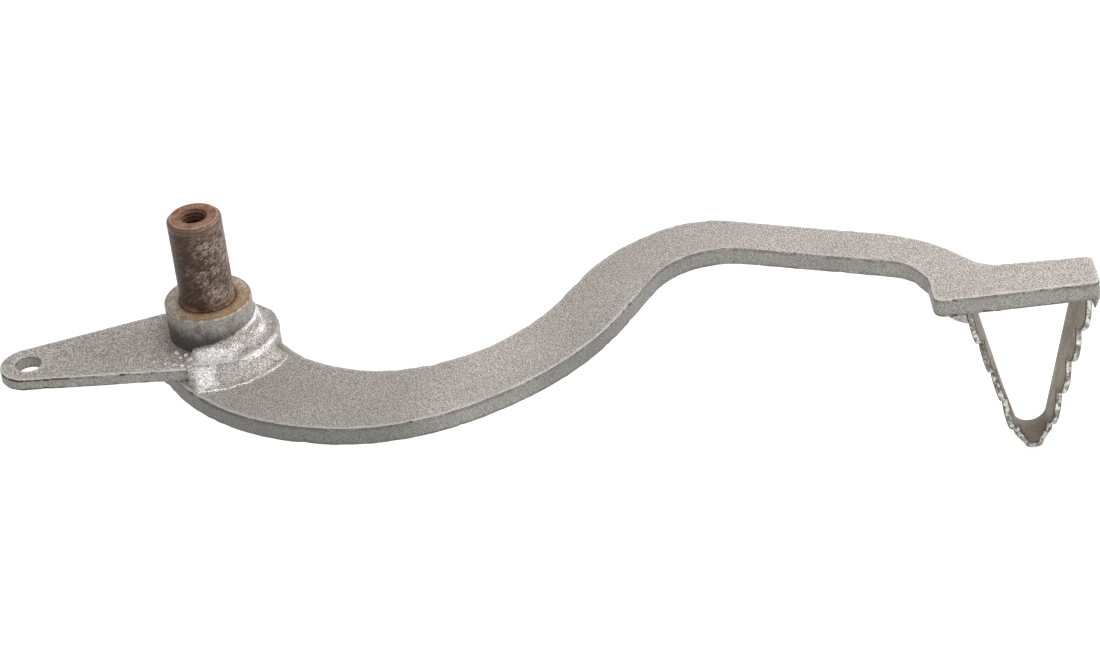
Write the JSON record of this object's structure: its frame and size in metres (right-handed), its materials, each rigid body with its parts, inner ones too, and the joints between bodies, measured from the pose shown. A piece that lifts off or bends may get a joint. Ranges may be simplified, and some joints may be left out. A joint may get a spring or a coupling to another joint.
{
  "type": "brake pedal",
  "caption": "Welded plate brake pedal: cranked arm with a serrated toe loop, a brake rod lug and a pivot pin with a threaded end.",
  "frame": {"origin": "on the pivot pin's axis, at the boss's face that rubs on the vehicle's frame, where the pin leaves it", "axes": "+Z along the pin towards its threaded end, +X from the pivot towards the toe, -Y down as the pedal is used"},
  "size_m": [0.3205, 0.0882, 0.0985],
  "materials": {
    "painted_plate": "coarse silver paint, chipped brown at the edges",
    "boss_steel": "silver paint on the side, bare and tan with rust on the rubbed face",
    "worn_pin": "bare steel with mottled dark brown rust and scratched bright patches",
    "toe_steel": "worn bright on the teeth, brown grey inside",
    "weld_metal": "lumpy bright weld bead under thin silver paint"
  },
  "bodies": {
    "root": {"arm": "painted_plate", "rod_lug": "painted_plate", "pivot_boss": "boss_steel", "pivot_pin": "worn_pin", "toe_loop": "toe_steel", "boss_weld": "weld_metal", "lug_weld": "weld_metal", "pin_weld": "weld_metal", "toe_weld_rear": "weld_metal", "toe_weld_front": "weld_metal"}
  },
  "joints": []
}
